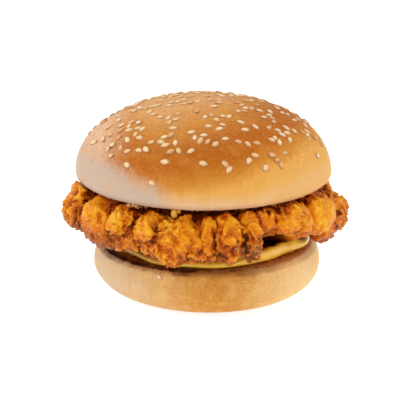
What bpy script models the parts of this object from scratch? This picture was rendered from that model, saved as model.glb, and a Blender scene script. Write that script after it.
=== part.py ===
# Crispy chicken cheeseburger: a sesame crown, a craggy fried fillet, a melted cheese slice, a toasted heel.
# Metres, +Z up. The heel stands on z = 0 and the box of the whole is centred on the Z axis.
import math
import random

import bmesh
import bpy
from mathutils import Matrix, Vector, noise
from mathutils.bvhtree import BVHTree

MM = 0.001
GAP = 0.4 * MM  # air left between neighbours

# Heel, the lower half of the bun
HEEL_CENTRE_X = 0.6 * MM
HEEL_HEIGHT = 20.4 * MM
HEEL_BELLY_Z = 12.4 * MM
HEEL_BELLY_RADIUS = 47.1 * MM
HEEL_FOOT_RADIUS = 31.0 * MM
HEEL_CUT_RADIUS = 45.0 * MM
HEEL_EDGE = 1.6 * MM  # rounding of the cut edge
HEEL_SHOULDER = 0.7 * HEEL_EDGE  # how far below the cut face the side begins
HEEL_SIDE_RINGS, HEEL_FOOT_RINGS = 3, 5

# Crown, the upper half of the bun
CROWN_CENTRE_X = -1.0 * MM
CROWN_CUT_Z = 44.8 * MM
CROWN_RADIUS = 52.0 * MM
CROWN_LIP_HEIGHT = 5.0 * MM  # from the cut face up to the widest ring
CROWN_LIP_DEPTH = 9.5 * MM  # how far the lip rolls in under the dome
CROWN_DOME_HEIGHT = 30.4 * MM  # from the widest ring up to the top
CROWN_POWER = 2.03  # roundness of the dome, 2 being an ellipse
DOME_RINGS, LIP_RINGS = 12, 5

BUN_STEPS = 48
OUT_OF_ROUND = (0.008, 0.005)  # how far both halves swell to two sides and to three
CROWN_SWELL, HEEL_SWELL = 0.7, 2.1  # turns of those swellings, in radians

# Sesame seeds on the crown
SEED_COUNT = 132
SEED_PLACE_DRAW, SEED_SHAPE_DRAW = 5, 9  # start the random draws of their places and shapes
SEED_LENGTH = 3.3 * MM
SEED_WIDTH = 2.1 * MM
SEED_THICKNESS = 1.3 * MM
SEED_SUNK = 0.05 * MM  # how far a seed's middle lies under the crust
SEED_SPACING = 2.2 * MM
SEED_SIZES = (0.88, 1.12)
SEED_TAPER = 0.55  # how much slimmer the pointed end is
SEED_TIP = 7  # degrees that a seed leans at most
SEED_SIDES, SEED_RINGS = 5, 4
SEED_SIDE_SHARE = 0.88  # inside this share of the crown's radius every drawn place is taken
SEED_LAST_SHARE = 0.975  # and outside this one none
SEED_RIM_CHANCE = 0.5  # chance of a place between the two

# Cheese slice, melted to a wavy round
CHEESE_RADIUS = 41.6 * MM
CHEESE_THICKNESS = 2.7 * MM
CHEESE_WAVES = ((4, 0.9 * MM, 0.5), (7, 0.5 * MM, 2.1), (11, 0.35 * MM, 4.0))  # lobes, depth, phase
CHEESE_ROUNDING = 0.42 * CHEESE_THICKNESS
CHEESE_STEPS = 60

# Fillet: a flat core with lobes of crust round its rim
FILLET_HALF_X = 58.6 * MM
FILLET_HALF_Y = 56.0 * MM
CORE_RADIUS_X = 48.0 * MM
CORE_RADIUS_Y = 45.0 * MM
CORE_HALF_HEIGHT = 10.6 * MM
CORE_Z = 34.0 * MM
CORE_FLATNESS = 5  # the higher, the flatter its two faces
CORE_MOST = 2.5  # how many times its height over an ellipsoid's may grow
LOBE_DRAW = 11  # starts the random draws of the back's lobes
FILLET_VOXEL = 1.5 * MM
FILLET_TRIANGLES = 4400
CRAG_SIZE = 6.5 * MM
CRAG_DEPTH = 1.2 * MM
CRAG_STEEPNESS = 2.4
CRAG_BEND, CRAG_BEND_SIZE = 0.9, 2.2  # how much the ridges wander, and over how many times their size
CRAG_BEND_OFFSETS = (Vector((0, 0, 0)), Vector((31.4, 0, 0)), Vector((0, 47.2, 0)))

# At the front right the fillet arches up off the cheese
ARCH_TURN, ARCH_SPREAD = -50.0, 17.0  # degrees: its middle and half width
ARCH_WHOLE = 0.45  # share of that half width where the lift is whole
ARCH_LIFT = 7.5 * MM
ARCH_FROM, ARCH_FULL = 26.0 * MM, 42.0 * MM  # distances from the axis where it starts and is whole
ARCH_TOP = 38.0 * MM  # crust above this height stays where it is

# Slopes that hold the fillet in between the bun halves
CROWN_CLEARANCE = 1.014  # the crown's underside, swollen out of round, ends at most this much further out
CROWN_FLARE = 8  # outside the crown the limit climbs this many times as far as it runs out
CHEESE_OVERHANG = 2.4 * MM  # the limit stays at the cheese's height this far beyond its rim
SHOULDER_FALL = 1.6  # outside that it falls this many times as far as it runs out

# Lobes of the front: turn round the axis from +X in degrees, then distance out, height, and half sizes
# out, across and up in millimetres
FRONT_LOBES = {
    "left_ear": (-163, 53.0, 42.5, 3.0, 6.5, 7.0),
    "left_end": (-166, 50.5, 36.0, 8.5, 11.0, 8.0),
    "left_upper": (-148, 46.5, 38.0, 9.5, 8.0, 7.0),
    "left_belly": (-144, 47.0, 33.5, 9.5, 12.0, 8.0),
    "left_fold": (-131, 46.0, 37.5, 8.5, 6.5, 7.0),
    "left_floor": (-131, 44.5, 32.0, 8.5, 9.0, 5.0),
    "knob": (-115, 47.0, 37.0, 7.5, 5.5, 5.5),
    "knob_floor": (-113, 45.5, 32.4, 7.5, 6.0, 5.2),
    "bright": (-102, 47.0, 34.5, 7.8, 8.5, 8.0),
    "bright_floor": (-104, 46.5, 29.6, 6.5, 7.0, 4.9),
    "bright_side": (-94, 46.5, 32.6, 7.0, 5.0, 6.2),
    "ridge": (-88, 46.5, 34.5, 6.8, 3.4, 8.4),
    "middle": (-79.5, 47.0, 37.0, 7.4, 5.6, 6.5),
    "middle_floor": (-78, 46.5, 31.5, 7.4, 6.0, 6.4),
    "flake": (-69, 46.5, 36.5, 7.0, 4.5, 7.5),
    "flake_floor": (-67.5, 46.0, 30.5, 5.8, 3.6, 6.0),
    "right_fold": (-60, 44.5, 38.5, 7.0, 5.0, 5.5),
    "right_belly": (-47, 47.0, 37.5, 9.6, 11.0, 7.6),
    "right_floor": (-43, 46.5, 33.0, 8.0, 9.0, 5.5),
    "right_end": (-27, 49.0, 37.0, 9.0, 10.5, 8.0),
    "right_flange": (-9, 53.0, 33.5, 6.4, 9.0, 7.5),
    "right_under": (-18, 50.5, 29.5, 6.0, 7.5, 5.5),
}

# Lobes of the back, drawn between these limits, in degrees and millimetres
BACK_LOBES = 17
BACK_FROM, BACK_TO = 6.0, 184.0
BACK_SHIFT = (0.2, 0.8)  # where a lobe may stand in its own part of the arc
BACK_OUT, BACK_LOW_Z, BACK_HIGH_Z = (45.5, 49.0), (29.0, 32.0), (35.0, 38.5)
BACK_HALF_OUT, BACK_HALF_ACROSS, BACK_HALF_UP = (7.0, 9.5), (6.5, 11.0), (5.5, 8.0)


def clear_scene():
    for old in list(bpy.data.objects):
        bpy.data.objects.remove(old)


def collection(name):
    made = bpy.data.collections.new(name)
    bpy.context.scene.collection.children.link(made)
    return made


def material(name, colour, roughness):
    made = bpy.data.materials.new(name)
    made.use_nodes = True
    shader = made.node_tree.nodes["Principled BSDF"]
    shader.inputs["Base Color"].default_value = (*colour, 1.0)
    shader.inputs["Roughness"].default_value = roughness
    shader.inputs["Metallic"].default_value = 0.0
    return made


def add_object(name, mesh, home, paint=None):
    made = bpy.data.objects.new(name, mesh)
    home.objects.link(made)
    if paint:
        mesh.materials.clear()
        mesh.materials.append(paint)
    return made


def applied(obj):
    """The object's mesh with its modifiers applied, and the modifiers gone."""
    graph = bpy.context.evaluated_depsgraph_get()
    mesh = bpy.data.meshes.new_from_object(obj.evaluated_get(graph))
    obj.modifiers.clear()
    obj.data = mesh
    return mesh


def rebuilt(mesh):
    """A bmesh of the same points and faces, whose edges and normals come out the same on every machine."""
    shape = bmesh.new()
    points = [shape.verts.new(vertex.co) for vertex in mesh.vertices]
    for face in mesh.polygons:
        shape.faces.new([points[i] for i in face.vertices])
    shape.normal_update()
    return shape


def turned(name, profile, home, paint):
    """A solid of revolution from (radius, z) points that run down its outer side."""
    mesh = bpy.data.meshes.new(name)
    edges = [(i, i + 1) for i in range(len(profile) - 1)]
    mesh.from_pydata([(radius, 0.0, z) for radius, z in profile], edges, [])
    made = add_object(name, mesh, home, paint)
    screw = made.modifiers.new("Turn", "SCREW")
    screw.steps = screw.render_steps = BUN_STEPS
    screw.use_merge_vertices = True
    screw.merge_threshold = 0.01 * MM
    screw.use_smooth_shade = True
    applied(made)
    return made


# Bun

def crown_profile():
    points = []
    widest_z = CROWN_CUT_Z + CROWN_LIP_HEIGHT
    for i in range(DOME_RINGS):
        turn = math.pi / 2 * (1 - i / DOME_RINGS)
        points.append((
            CROWN_RADIUS * math.cos(turn) ** (2 / CROWN_POWER) if i else 0.0,
            widest_z + CROWN_DOME_HEIGHT * math.sin(turn) ** (2 / CROWN_POWER),
        ))
    for i in range(LIP_RINGS + 1):
        turn = math.pi / 2 * i / LIP_RINGS
        points.append((
            CROWN_RADIUS - CROWN_LIP_DEPTH * (1 - math.cos(turn)),
            widest_z - CROWN_LIP_HEIGHT * math.sin(turn),
        ))
    points.append((0.0, CROWN_CUT_Z))
    return points


def heel_profile():
    points = [(0.0, HEEL_HEIGHT), (HEEL_CUT_RADIUS - HEEL_EDGE, HEEL_HEIGHT)]
    side_top = HEEL_HEIGHT - HEEL_SHOULDER
    for i in range(1, HEEL_SIDE_RINGS + 1):
        share = i / HEEL_SIDE_RINGS
        points.append((
            HEEL_BELLY_RADIUS - (HEEL_BELLY_RADIUS - HEEL_CUT_RADIUS) * (1 - share) ** 2,
            side_top - (side_top - HEEL_BELLY_Z) * share,
        ))
    for i in range(1, HEEL_FOOT_RINGS + 1):
        turn = math.pi / 2 * i / HEEL_FOOT_RINGS
        points.append((
            HEEL_FOOT_RADIUS + (HEEL_BELLY_RADIUS - HEEL_FOOT_RADIUS) * math.cos(turn),
            HEEL_BELLY_Z * (1 - math.sin(turn)),
        ))
    points.append((0.0, 0.0))
    return points


def swell(obj, centre_x, phase):
    """Takes a turned bun half out of round, as baked dough is, and moves it to its own axis."""
    oval, triad = OUT_OF_ROUND
    for vertex in obj.data.vertices:
        turn = math.atan2(vertex.co.y, vertex.co.x)
        out = 1 + oval * math.cos(2 * turn + phase) + triad * math.cos(3 * turn - 2 * phase)
        vertex.co.x = vertex.co.x * out + centre_x
        vertex.co.y = vertex.co.y * out


def seed_places(crown):
    """Positions and outward normals of the seeds: even as seen from above, and fewer towards the lip."""
    tree = BVHTree.FromObject(crown, bpy.context.evaluated_depsgraph_get())
    draw = random.Random(SEED_PLACE_DRAW)
    places = []
    tries = 0
    while len(places) < SEED_COUNT and tries < 20000:
        tries += 1
        turn = draw.uniform(0, 2 * math.pi)
        share = math.sqrt(draw.random()) * SEED_LAST_SHARE
        if draw.random() > (SEED_RIM_CHANCE if share > SEED_SIDE_SHARE else 1.0):
            continue
        above = Vector((
            CROWN_CENTRE_X + CROWN_RADIUS * share * math.cos(turn),
            CROWN_RADIUS * share * math.sin(turn),
            CROWN_CUT_Z + 2 * CROWN_DOME_HEIGHT,
        ))
        point, normal, _, _ = tree.ray_cast(above, Vector((0, 0, -1)))
        if point and all((point - other).length > SEED_SPACING for other, _ in places):
            places.append((point, normal))
    return places


def seeds(crown, home):
    """Flat teardrop seeds lying on the crust, each its own closed mesh."""
    draw = random.Random(SEED_SHAPE_DRAW)
    for point, normal in seed_places(crown):
        shape = bmesh.new()
        bmesh.ops.create_uvsphere(shape, u_segments=SEED_SIDES, v_segments=SEED_RINGS, radius=0.5)
        size = draw.uniform(*SEED_SIZES)
        for vertex in shape.verts:
            along = vertex.co.z  # the sphere's poles become the seed's two ends
            taper = 1.0 - SEED_TAPER * max(0.0, along)
            vertex.co = Vector((
                along * SEED_LENGTH * size,
                vertex.co.x * SEED_WIDTH * size * taper,
                vertex.co.y * SEED_THICKNESS * size,
            ))
        upright = normal.to_track_quat("Z", "Y").to_matrix().to_4x4()
        spin = Matrix.Rotation(draw.uniform(0, 2 * math.pi), 4, "Z")
        tip = Matrix.Rotation(math.radians(draw.uniform(-SEED_TIP, SEED_TIP)), 4, "Y")
        place = Matrix.Translation(point - normal * SEED_SUNK) @ upright @ spin @ tip
        bmesh.ops.transform(shape, matrix=place, verts=shape.verts)
        bmesh.ops.recalc_face_normals(shape, faces=shape.faces)
        mesh = bpy.data.meshes.new("seed")
        shape.to_mesh(mesh)
        shape.free()
        add_object("seed", mesh, home)


def build_crown(home):
    paint = material("crown crust", (0.62, 0.30, 0.09), 0.5)
    crown = turned("bun_crown", crown_profile(), home, paint)
    swell(crown, CROWN_CENTRE_X, CROWN_SWELL)
    loose = collection("loose seeds")
    seeds(crown, loose)
    union = crown.modifiers.new("Seeds", "BOOLEAN")
    union.operand_type = "COLLECTION"
    union.operation = "UNION"
    union.solver = "EXACT"
    union.collection = loose
    applied(crown)
    for seed in list(loose.objects):
        bpy.data.objects.remove(seed)
    bpy.data.collections.remove(loose)
    crown.data.shade_smooth()
    crown.data.set_sharp_from_angle(angle=math.radians(35))
    return crown


def build_heel(home):
    paint = material("heel crust", (0.66, 0.38, 0.14), 0.6)
    heel = turned("bun_heel", heel_profile(), home, paint)
    swell(heel, HEEL_CENTRE_X, HEEL_SWELL)
    heel.data.shade_smooth()
    heel.data.set_sharp_from_angle(angle=math.radians(40))
    return heel


# Cheese

def build_cheese(home):
    """A flat slice whose melted edge is fully round and wavy."""
    paint = material("melted cheese", (0.80, 0.45, 0.09), 0.3)
    slab = bmesh.new()
    bmesh.ops.create_circle(slab, cap_ends=True, segments=CHEESE_STEPS, radius=CHEESE_RADIUS)
    for vertex in slab.verts:
        turn = math.atan2(vertex.co.y, vertex.co.x)
        wave = sum(depth * math.cos(count * turn + phase) for count, depth, phase in CHEESE_WAVES)
        vertex.co *= 1 + wave / CHEESE_RADIUS
    face = slab.faces[:]
    raised = bmesh.ops.extrude_face_region(slab, geom=face)
    top = [part for part in raised["geom"] if isinstance(part, bmesh.types.BMVert)]
    bmesh.ops.translate(slab, verts=top, vec=(0, 0, CHEESE_THICKNESS))
    bmesh.ops.recalc_face_normals(slab, faces=slab.faces)
    rims = [
        edge for edge in slab.edges
        if abs(edge.verts[0].co.z - edge.verts[1].co.z) < 0.1 * MM
    ]
    bmesh.ops.bevel(
        slab, geom=rims, offset=CHEESE_ROUNDING, offset_type="OFFSET", segments=2,
        profile=0.5, affect="EDGES", material=-1,
    )
    bmesh.ops.translate(slab, verts=slab.verts, vec=(HEEL_CENTRE_X, 0, HEEL_HEIGHT + GAP))
    mesh = bpy.data.meshes.new("cheese_slice")
    slab.to_mesh(mesh)
    slab.free()
    cheese = add_object("cheese_slice", mesh, home, paint)
    cheese.data.shade_smooth()
    cheese.data.set_sharp_from_angle(angle=math.radians(50))
    return cheese


# Fillet

def lobes():
    """All lobes: those of the front by hand, those of the back drawn by a rule."""
    rows = list(FRONT_LOBES.values())
    draw = random.Random(LOBE_DRAW)
    for i in range(BACK_LOBES):
        turn = BACK_FROM + (BACK_TO - BACK_FROM) * (i + draw.uniform(*BACK_SHIFT)) / BACK_LOBES
        rows.append((
            turn,
            draw.uniform(*BACK_OUT),
            draw.uniform(*(BACK_LOW_Z if i % 2 else BACK_HIGH_Z)),
            draw.uniform(*BACK_HALF_OUT),
            draw.uniform(*BACK_HALF_ACROSS),
            draw.uniform(*BACK_HALF_UP),
        ))
    return rows


def crag(point):
    """How far the crust stands out at a point, from -1 in a crevice to 1 on a ridge."""
    broad = point / (CRAG_BEND_SIZE * CRAG_SIZE)
    bend = Vector([noise.noise(broad + offset) for offset in CRAG_BEND_OFFSETS])
    fold = noise.noise(point / CRAG_SIZE + CRAG_BEND * bend)
    return 1 - CRAG_STEEPNESS * abs(fold)


def ceiling(radius):
    """Height of the crown's underside over a distance from its axis."""
    inner = CROWN_RADIUS - CROWN_LIP_DEPTH
    if radius <= inner:
        return CROWN_CUT_Z
    if radius >= CROWN_RADIUS:
        return CROWN_CUT_Z + CROWN_LIP_HEIGHT + CROWN_FLARE * (radius - CROWN_RADIUS)
    roll = (radius - inner) / CROWN_LIP_DEPTH
    return CROWN_CUT_Z + CROWN_LIP_HEIGHT * (1 - math.sqrt(1 - roll * roll))


def floor(radius):
    """Height of the cheese, and outside it of the heel's shoulder, over a distance from the axis."""
    cheese = HEEL_HEIGHT + GAP + CHEESE_THICKNESS
    edge = CHEESE_RADIUS + CHEESE_OVERHANG
    if radius <= edge:
        return cheese
    return max(cheese - SHOULDER_FALL * (radius - edge), HEEL_BELLY_Z)


def eased(value, start, end):
    """0 before start, 1 after end, and smooth between them."""
    share = max(0.0, min(1.0, (value - start) / (end - start)))
    return share * share * (3 - 2 * share)


def arch(obj):
    """Lifts the fillet's underside off the cheese at the front right."""
    for vertex in obj.data.vertices:
        co = vertex.co
        aside = abs(math.degrees(math.atan2(co.y, co.x)) - ARCH_TURN)
        sector = 1 - eased(aside, ARCH_WHOLE * ARCH_SPREAD, ARCH_SPREAD)
        out = eased(math.hypot(co.x, co.y), ARCH_FROM, ARCH_FULL)
        depth = max(0.0, min(1.0, (ARCH_TOP - co.z) / (ARCH_TOP - CORE_Z + CORE_HALF_HEIGHT)))
        co.z += ARCH_LIFT * sector * out * depth


def squeeze(obj, spare):
    """Keeps the fillet between the crown and what lies under it."""
    for vertex in obj.data.vertices:
        co = vertex.co
        top = ceiling(math.hypot(co.x - CROWN_CENTRE_X, co.y) / CROWN_CLEARANCE) - spare
        low = floor(math.hypot(co.x - HEEL_CENTRE_X, co.y)) + spare
        co.z = max(min(co.z, top), low)


def fit_box(obj):
    """Stretches the outline to its stated width and depth, centred on the axis."""
    xs = [vertex.co.x for vertex in obj.data.vertices]
    ys = [vertex.co.y for vertex in obj.data.vertices]
    for vertex in obj.data.vertices:
        vertex.co.x = FILLET_HALF_X * (2 * (vertex.co.x - min(xs)) / (max(xs) - min(xs)) - 1)
        vertex.co.y = FILLET_HALF_Y * (2 * (vertex.co.y - min(ys)) / (max(ys) - min(ys)) - 1)


def build_fillet(home):
    paint = material("fried crust", (0.60, 0.21, 0.02), 0.45)
    lumps = bmesh.new()
    core = Matrix.Translation((0, 0, CORE_Z)) @ Matrix.Diagonal(
        (CORE_RADIUS_X, CORE_RADIUS_Y, CORE_HALF_HEIGHT, 1)
    )
    bmesh.ops.create_icosphere(lumps, subdivisions=5, radius=1.0, matrix=core)
    for vertex in lumps.verts:  # a flat slab rather than a lens
        share = math.hypot(vertex.co.x / CORE_RADIUS_X, vertex.co.y / CORE_RADIUS_Y)
        if share < 0.999:
            flat = (1 - share ** CORE_FLATNESS) ** (2 / CORE_FLATNESS) / math.sqrt(1 - share * share)
            vertex.co.z = CORE_Z + (vertex.co.z - CORE_Z) * min(flat, CORE_MOST)
    for turn, out, z, half_out, half_across, half_up in lobes():
        place = (
            Matrix.Rotation(math.radians(turn), 4, "Z")
            @ Matrix.Translation((out * MM, 0, z * MM))
            @ Matrix.Diagonal((half_out * MM, half_across * MM, half_up * MM, 1))
        )
        bmesh.ops.create_icosphere(lumps, subdivisions=3, radius=1.0, matrix=place)
    mesh = bpy.data.meshes.new("chicken_fillet")
    lumps.to_mesh(mesh)
    lumps.free()
    fillet = add_object("chicken_fillet", mesh, home, paint)
    fuse = fillet.modifiers.new("Fuse", "REMESH")
    fuse.mode = "VOXEL"
    fuse.voxel_size = FILLET_VOXEL
    crust = rebuilt(applied(fillet))
    moves = [vertex.normal * CRAG_DEPTH * crag(vertex.co) for vertex in crust.verts]
    for vertex, move in zip(crust.verts, moves):
        vertex.co += move
    crust.to_mesh(fillet.data)
    crust.free()
    arch(fillet)
    squeeze(fillet, 0.9 * GAP)
    thin = fillet.modifiers.new("Thin", "DECIMATE")
    thin.ratio = FILLET_TRIANGLES / (2 * len(fillet.data.polygons))
    applied(fillet)
    fit_box(fillet)
    squeeze(fillet, 1.4 * GAP)
    fillet.data.materials.clear()
    fillet.data.materials.append(paint)
    fillet.data.shade_smooth()
    return fillet


def main():
    clear_scene()
    burger = collection("chicken_cheeseburger")
    build_heel(burger)
    build_cheese(burger)
    build_fillet(burger)
    build_crown(burger)


main()
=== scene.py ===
import random
from math import atan2, cos, degrees, hypot, pi, radians, sin, sqrt

import bmesh
import bpy
from mathutils import Matrix, Vector
from mathutils.bvhtree import BVHTree
from mathutils.noise import noise, voronoi


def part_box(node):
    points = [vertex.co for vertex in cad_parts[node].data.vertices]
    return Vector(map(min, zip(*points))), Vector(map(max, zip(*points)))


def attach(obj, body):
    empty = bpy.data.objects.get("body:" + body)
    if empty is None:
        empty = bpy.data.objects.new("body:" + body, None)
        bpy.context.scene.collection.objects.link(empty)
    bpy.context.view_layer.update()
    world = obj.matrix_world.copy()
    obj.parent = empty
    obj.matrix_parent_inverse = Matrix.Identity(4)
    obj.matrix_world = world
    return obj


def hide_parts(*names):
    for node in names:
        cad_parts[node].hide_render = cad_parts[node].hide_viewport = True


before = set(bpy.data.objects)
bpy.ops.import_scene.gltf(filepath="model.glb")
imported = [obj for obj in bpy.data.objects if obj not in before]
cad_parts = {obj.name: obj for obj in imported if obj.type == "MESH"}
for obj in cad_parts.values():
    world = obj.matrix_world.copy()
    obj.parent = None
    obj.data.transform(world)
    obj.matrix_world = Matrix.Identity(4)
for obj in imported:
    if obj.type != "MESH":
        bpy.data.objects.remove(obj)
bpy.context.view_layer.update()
mm = 0.001

crownLow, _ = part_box("bun_crown")
heelLow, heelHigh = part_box("bun_heel")
_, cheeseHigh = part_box("cheese_slice")
filletLow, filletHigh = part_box("chicken_fillet")
heelMiddle = (heelLow + heelHigh) / 2


# Shader maths: a Wire is one output socket, and arithmetic on it adds Math nodes

def operator(kind, reflected=False):
    def made(self, other):
        pair = (other, self) if reflected else (self, other)
        return self.bench.math(kind, *pair)
    return made


class Wire:
    def __init__(self, bench, socket):
        self.bench = bench
        self.socket = socket

    __add__ = operator("ADD")
    __radd__ = operator("ADD", True)
    __sub__ = operator("SUBTRACT")
    __rsub__ = operator("SUBTRACT", True)
    __mul__ = operator("MULTIPLY")
    __rmul__ = operator("MULTIPLY", True)
    __truediv__ = operator("DIVIDE")
    __pow__ = operator("POWER")


class Bench:
    # the nodes of one material, or of the world
    def __init__(self, tree, coordinates):
        self.tree = tree
        self.place = self.node("ShaderNodeTexCoord", {}, {}, coordinates)
        parts = self.node("ShaderNodeSeparateXYZ", {}, {0: self.place}).socket.node.outputs
        self.axes = [Wire(self, part) for part in parts]

    def node(self, kind, settings, sockets, output=0):
        made = self.tree.nodes.new(kind)
        for name, value in settings.items():
            if name == "stops":
                self.setStops(made.color_ramp, value)
            else:
                setattr(made, name, value)
        for name, value in sockets.items():
            self.feed(made.inputs[name], value)
        return Wire(self, made.outputs[output])

    def setStops(self, ramp, stops):
        while len(ramp.elements) < len(stops):
            ramp.elements.new(1.0)
        for element, (position, *shade) in zip(ramp.elements, stops):
            element.position = position
            element.color = colour(*shade)

    def feed(self, socket, value):
        if isinstance(value, Wire):
            self.tree.links.new(value.socket, socket)
        else:
            socket.default_value = value

    def math(self, operation, first, second):
        return self.node("ShaderNodeMath", {"operation": operation}, {0: first, 1: second})

    def attribute(self, name):
        return self.node("ShaderNodeAttribute", {"attribute_name": name}, {}, "Fac")

    def noise(self, scale, detail=3.0, roughness=0.55, distortion=0.0, place=None):
        sockets = {"Vector": place or self.place, "Scale": scale, "Detail": detail}
        sockets |= {"Roughness": roughness, "Distortion": distortion}
        return self.node("ShaderNodeTexNoise", {}, sockets)

    def streaks(self, across, upright, detail=3.0, roughness=0.6):
        # noise that is drawn out into upright streaks
        sockets = {0: self.place, "Scale": (across, across, upright)}
        place = self.node("ShaderNodeMapping", {}, sockets)
        return self.noise(1.0, detail, roughness, place=place)

    def cells(self, scale, feature="F1", smooth=0.0):
        sockets = {"Vector": self.place, "Scale": scale}
        if feature == "SMOOTH_F1":
            sockets["Smoothness"] = smooth
        return self.node("ShaderNodeTexVoronoi", {"feature": feature}, sockets, "Distance")

    def eased(self, value, start, end):
        # 0 at start, 1 at end, smooth between them
        sockets = {"Value": value, "From Min": start, "From Max": end}
        return self.node("ShaderNodeMapRange", {"interpolation_type": "SMOOTHSTEP"}, sockets)

    def ramp(self, value, stops):
        # each stop is a position and a screen colour
        return self.node("ShaderNodeValToRGB", {"stops": stops}, {0: value})

    def mix(self, share, first, second):
        return self.node("ShaderNodeMix", {"data_type": "RGBA"}, {0: share, 6: first, 7: second}, 2)

    def layers(self, shade, rows):
        # each row lays its share of a screen colour over those before it
        for share, *screenColour in rows:
            shade = self.mix(share, shade, colour(*screenColour))
        return shade

    def bump(self, height, strength, distance, below=None):
        sockets = {"Height": height, "Strength": strength, "Distance": distance}
        if below:
            sockets["Normal"] = below
        return self.node("ShaderNodeBump", {}, sockets)


class Finish(Bench):
    # a material and its shader
    def __init__(self, name):
        self.material = bpy.data.materials.new(name)
        self.material.use_nodes = True
        self.shader = self.material.node_tree.nodes["Principled BSDF"]
        super().__init__(self.material.node_tree, "Object")

    def dress(self, **sockets):
        # socket names in plain words: baseColor feeds Base Color
        for name, value in sockets.items():
            words = "".join(" " + letter if letter.isupper() else letter for letter in name)
            self.feed(self.shader.inputs[words.title().replace("Ior", "IOR")], value)
        return self.material


def colour(red, green, blue):
    # a screen colour, 0 to 255, as the linear colour that Blender mixes
    offset, gamma = 0.055, 2.4
    linear = [((part / 255 + offset) / (1 + offset)) ** gamma for part in (red, green, blue)]
    return (*linear, 1.0)


# Shared steps of modelling

def eased(value, start, end):
    share = max(0.0, min(1.0, (value - start) / (end - start)))
    return share * share * (3 - 2 * share)


def turnOf(co):
    # where a point lies round the axis, in degrees
    return degrees(atan2(co.y, co.x))


def drawnOut(co, share):
    # a point whose height counts less, so that noise there is drawn out upright
    return Vector((co.x, co.y, share * co.z))


def near(turn, spots):
    # 1 in the inner part of a spot and 0 outside all of them
    innerPart = 0.4
    asides = [abs((turn - middle + 180) % 360 - 180) / half for middle, half in spots]
    return 1 - eased(min(asides), innerPart, 1.0)


def movePoints(shape, moves):
    for vertex, move in zip(shape.verts, moves):
        vertex.co += move


def addObject(name, data):
    made = bpy.data.objects.new(name, data)
    bpy.context.scene.collection.objects.link(made)
    return made


def makePiece(name, shape, finish, smooth=True):
    mesh = bpy.data.meshes.new(name)
    shape.to_mesh(mesh)
    shape.free()
    if smooth:
        mesh.shade_smooth()
    mesh.materials.append(finish)
    return addObject(name, mesh)


def keepPiece(piece, slot, *nodes):
    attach(piece, "root")
    if nodes:
        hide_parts(*nodes)


def bakeModifiers(piece):
    graph = bpy.context.evaluated_depsgraph_get()
    mesh = bpy.data.meshes.new_from_object(piece.evaluated_get(graph))
    piece.modifiers.clear()
    piece.data = mesh


def treeOf(piece):
    return BVHTree.FromObject(piece, bpy.context.evaluated_depsgraph_get())


def ball(roundness, radius=1.0, place=Matrix()):
    shape = bmesh.new()
    bmesh.ops.create_icosphere(shape, subdivisions=roundness, radius=radius, matrix=place)
    return shape


def gather(shape, part):
    # adds a small shape to a large one, which is quicker than making it in there
    mesh = bpy.data.meshes.new("part")
    part.to_mesh(mesh)
    part.free()
    shape.from_mesh(mesh)
    bpy.data.meshes.remove(mesh)


def turnProfile(points, steps):
    # spins a chain of (radius, z) points into a closed solid
    seam = 0.002 * mm
    shape = bmesh.new()
    chain = [shape.verts.new((radius, 0, z)) for radius, z in points]
    edges = [shape.edges.new(pair) for pair in zip(chain, chain[1:])]
    bmesh.ops.spin(
        shape, geom=chain + edges, cent=(0, 0, 0), axis=(0, 0, 1), steps=steps,
        angle=2 * pi, use_merge=True, use_duplicate=False,
    )
    bmesh.ops.remove_doubles(shape, verts=shape.verts, dist=seam)
    bmesh.ops.recalc_face_normals(shape, faces=shape.faces)
    return shape


def swell(shape, middleX, phase):
    # baked dough is never quite round
    oval, threeSided = 0.008, 0.005
    for vertex in shape.verts:
        co = vertex.co
        turn = atan2(co.y, co.x)
        out = 1 + oval * cos(2 * turn + phase) + threeSided * cos(3 * turn - 2 * phase)
        co.x = co.x * out + middleX
        co.y *= out
    shape.normal_update()


# Crown of the bun

# light sinks into bread, and it hardly shines
breadLooks = dict(
    subsurfaceWeight=0.08,
    subsurfaceRadius=(1.0, 0.5, 0.25),
    subsurfaceScale=1.5 * mm,
    specularIorLevel=0.10,
)
crown = dict(
    middleX=-1.0 * mm, radius=52.0 * mm, cutZ=crownLow.z,
    lipHeight=5.0 * mm, lipDepth=9.5 * mm, domeHeight=30.0 * mm,
    power=2.03,  # above 2 the dome is fuller than a half ellipse
    phase=0.7,
    steps=220, domeRings=64, lipRings=16, cutRings=26,
    dentSize=26.0 * mm, dentDepth=0.55 * mm, dentShift=Vector((3.1, 0.4, 1.7)),
    lipTop=(0.05, 0.30),  # the lip passes into the dome between these shares of the height
    calmTop=(0.70, 0.95),  # and here most of the dents end
    calmShare=0.6,
    wrinkleSize=5.0 * mm, wrinkleDepth=0.14 * mm,
    wrinkleDrawn=0.45,  # less than 1 draws the wrinkles out upright
    puckerSize=3.6 * mm, puckerDepth=0.52 * mm, puckerSpots=((-152, 26), (38, 24)),
    puckerFrom=(0.28, 0.42), puckerTo=(0.55, 0.75), puckerSlant=0.8, puckerDrawn=0.6,
    puckerSharpness=3,
    cutEdge=0.9 * mm, cutBlend=0.8 * mm,
    crumbSize=1.4 * mm, crumbDepth=0.32 * mm,
    tornSize=2.0 * mm, tornDepth=0.7 * mm, tornWidth=2 * mm,
)
crown["height"] = crown["domeHeight"] + crown["lipHeight"]
crown["widestZ"] = crown["cutZ"] + crown["lipHeight"]
crown["cutRadius"] = crown["radius"] - crown["lipDepth"]


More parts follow.
